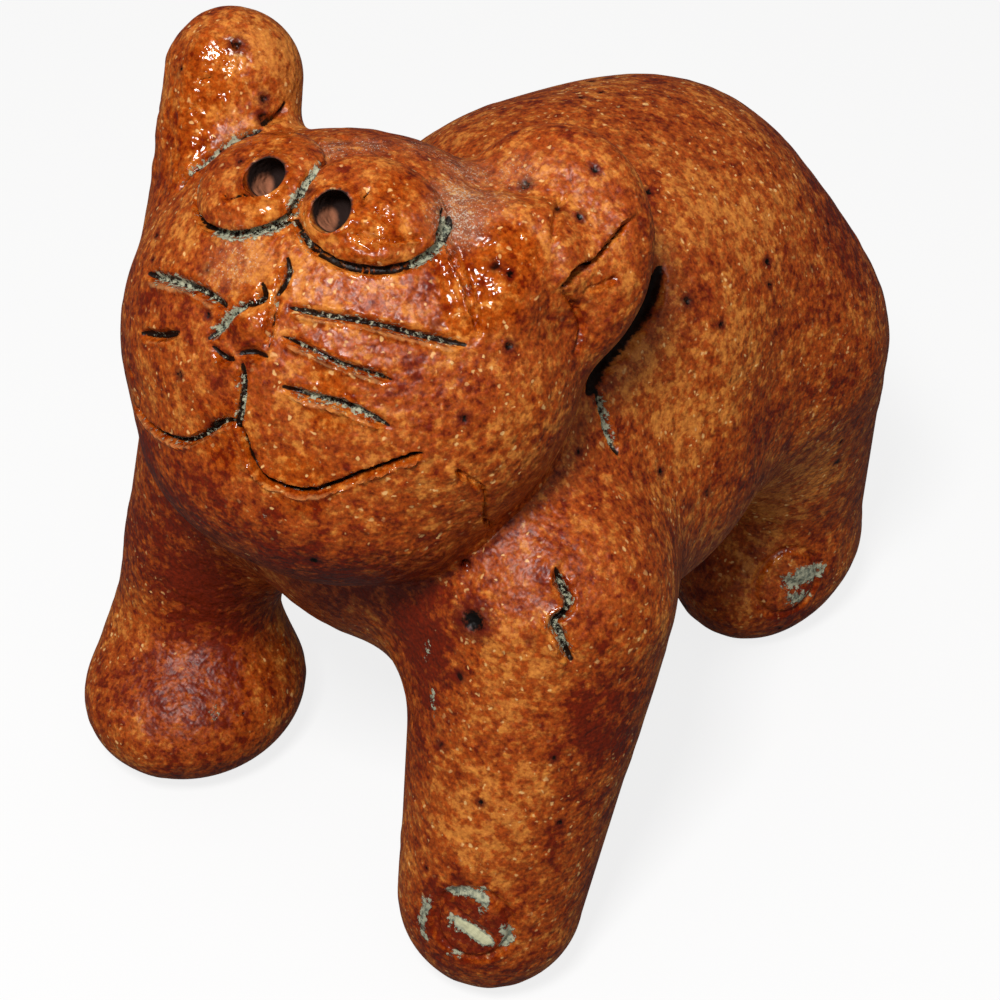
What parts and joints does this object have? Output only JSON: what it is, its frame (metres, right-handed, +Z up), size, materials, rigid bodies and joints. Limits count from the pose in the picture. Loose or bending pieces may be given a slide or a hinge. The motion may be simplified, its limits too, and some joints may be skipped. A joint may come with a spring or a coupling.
{
  "type": "cat figurine",
  "caption": "Hand-modelled stoneware cat standing on all fours, head turned and tipped up, incised whiskers and smile, brown glaze.",
  "frame": {"origin": "on the ground under the middle of the figure's bounding box", "axes": "+Z up, the body faces -Y, the cat's left side is +X"},
  "size_m": [0.0628, 0.0808, 0.0811],
  "materials": {
    "glazed_stoneware": "mottled brown gloss glaze over coarse stoneware"
  },
  "bodies": {
    "root": {"cat_figurine": "glazed_stoneware"}
  },
  "joints": []
}
